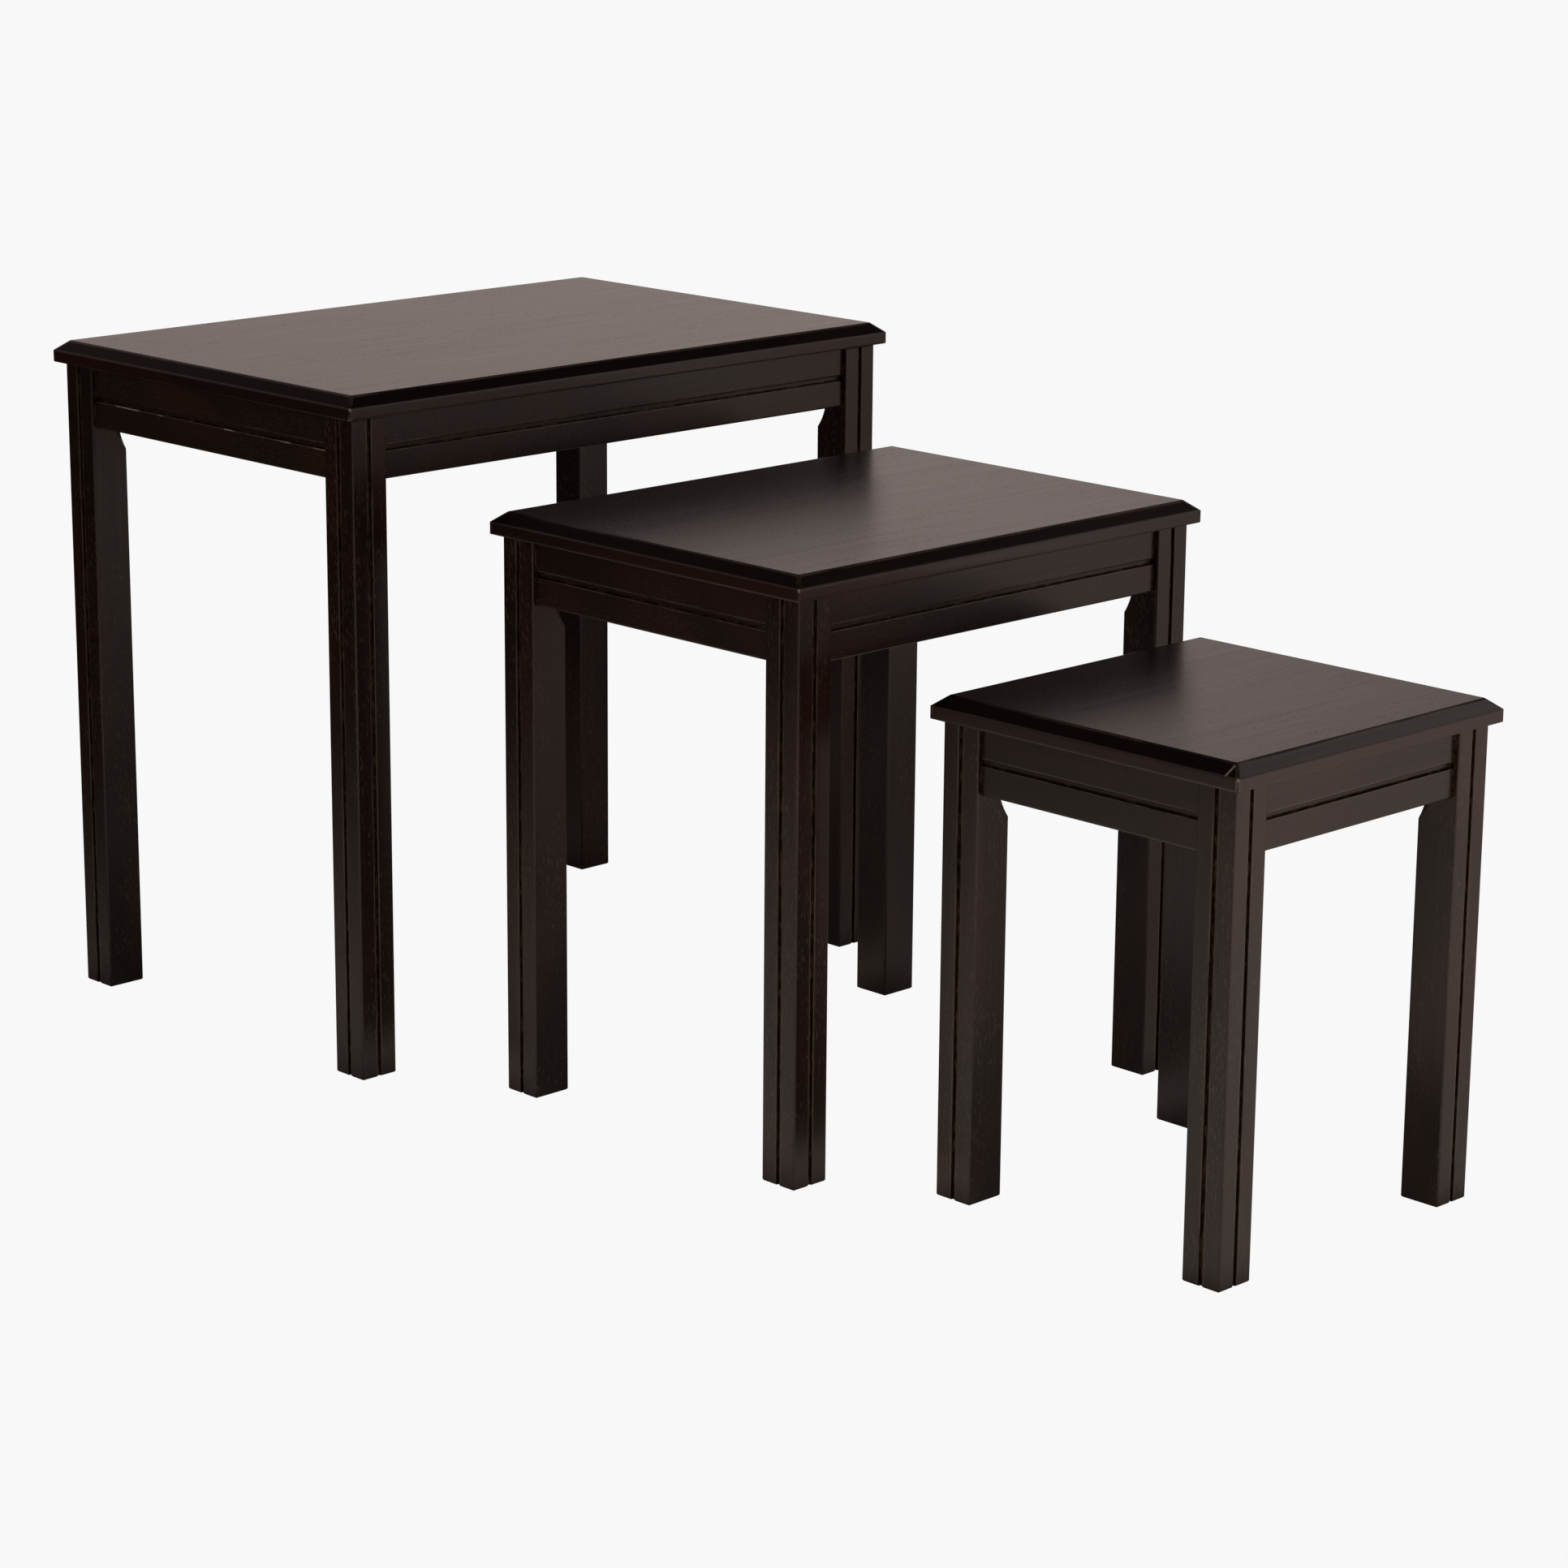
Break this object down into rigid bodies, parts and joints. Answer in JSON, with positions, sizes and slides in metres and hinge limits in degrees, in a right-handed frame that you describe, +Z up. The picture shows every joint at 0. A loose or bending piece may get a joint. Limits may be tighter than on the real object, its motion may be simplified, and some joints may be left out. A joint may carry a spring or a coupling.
{
  "type": "nesting tables",
  "caption": "Nest of square-legged wooden side tables, drawn out in a row, with bevelled tops and grooved legs and aprons.",
  "frame": {"origin": "centre of the footprint of the drawn-out row, on the floor", "axes": "+Z up; +Y along the row from the small table to the large one, which is the way the smaller tables slide in; X along the long side of the tops"},
  "size_m": [0.584, 1.152, 0.55],
  "materials": {
    "top_veneer": "dark espresso stained veneer, satin lacquer",
    "edge_wood": "solid wood edge, dark espresso stain, satin lacquer",
    "frame_wood": "solid wood, dark espresso stain, satin lacquer",
    "block_wood": "bare planed hardwood",
    "zinc_steel": "bright zinc plated",
    "screw_steel": "yellow zinc plated"
  },
  "bodies": {
    "large_table": {"large_top_panel": "top_veneer", "large_lipping_front": "edge_wood", "large_lipping_right": "edge_wood", "large_lipping_back": "edge_wood", "large_lipping_left": "edge_wood", "large_apron_front": "frame_wood", "large_apron_right": "frame_wood", "large_apron_back": "frame_wood", "large_apron_left": "frame_wood", "large_leg_front_left": "frame_wood", "large_leg_front_right": "frame_wood", "large_leg_back_right": "frame_wood", "large_leg_back_left": "frame_wood", "large_corner_blocks": "block_wood", "large_hanger_bolts": "zinc_steel", "large_bolt_washers": "zinc_steel", "large_bolt_nuts": "zinc_steel", "large_block_screws": "screw_steel", "large_top_screws": "screw_steel"},
    "medium_table": {"medium_top_panel": "top_veneer", "medium_lipping_front": "edge_wood", "medium_lipping_right": "edge_wood", "medium_lipping_back": "edge_wood", "medium_lipping_left": "edge_wood", "medium_apron_front": "frame_wood", "medium_apron_right": "frame_wood", "medium_apron_back": "frame_wood", "medium_apron_left": "frame_wood", "medium_leg_front_left": "frame_wood", "medium_leg_front_right": "frame_wood", "medium_leg_back_right": "frame_wood", "medium_leg_back_left": "frame_wood", "medium_corner_blocks": "block_wood", "medium_hanger_bolts": "zinc_steel", "medium_bolt_washers": "zinc_steel", "medium_bolt_nuts": "zinc_steel", "medium_block_screws": "screw_steel", "medium_top_screws": "screw_steel"},
    "small_table": {"small_top_panel": "top_veneer", "small_lipping_front": "edge_wood", "small_lipping_right": "edge_wood", "small_lipping_back": "edge_wood", "small_lipping_left": "edge_wood", "small_apron_front": "frame_wood", "small_apron_right": "frame_wood", "small_apron_back": "frame_wood", "small_apron_left": "frame_wood", "small_leg_front_left": "frame_wood", "small_leg_front_right": "frame_wood", "small_leg_back_right": "frame_wood", "small_leg_back_left": "frame_wood", "small_corner_blocks": "block_wood", "small_hanger_bolts": "zinc_steel", "small_bolt_washers": "zinc_steel", "small_bolt_nuts": "zinc_steel", "small_block_screws": "screw_steel", "small_top_screws": "screw_steel"}
  },
  "joints": [
    {"name": "medium_table_slide", "type": "slide", "parent": "large_table", "child": "medium_table", "axis": [0, 1, 0], "range_m": [0, 0.441]},
    {"name": "small_table_slide", "type": "slide", "parent": "large_table", "child": "small_table", "axis": [0, 1, 0], "range_m": [0, 0.815]}
  ]
}
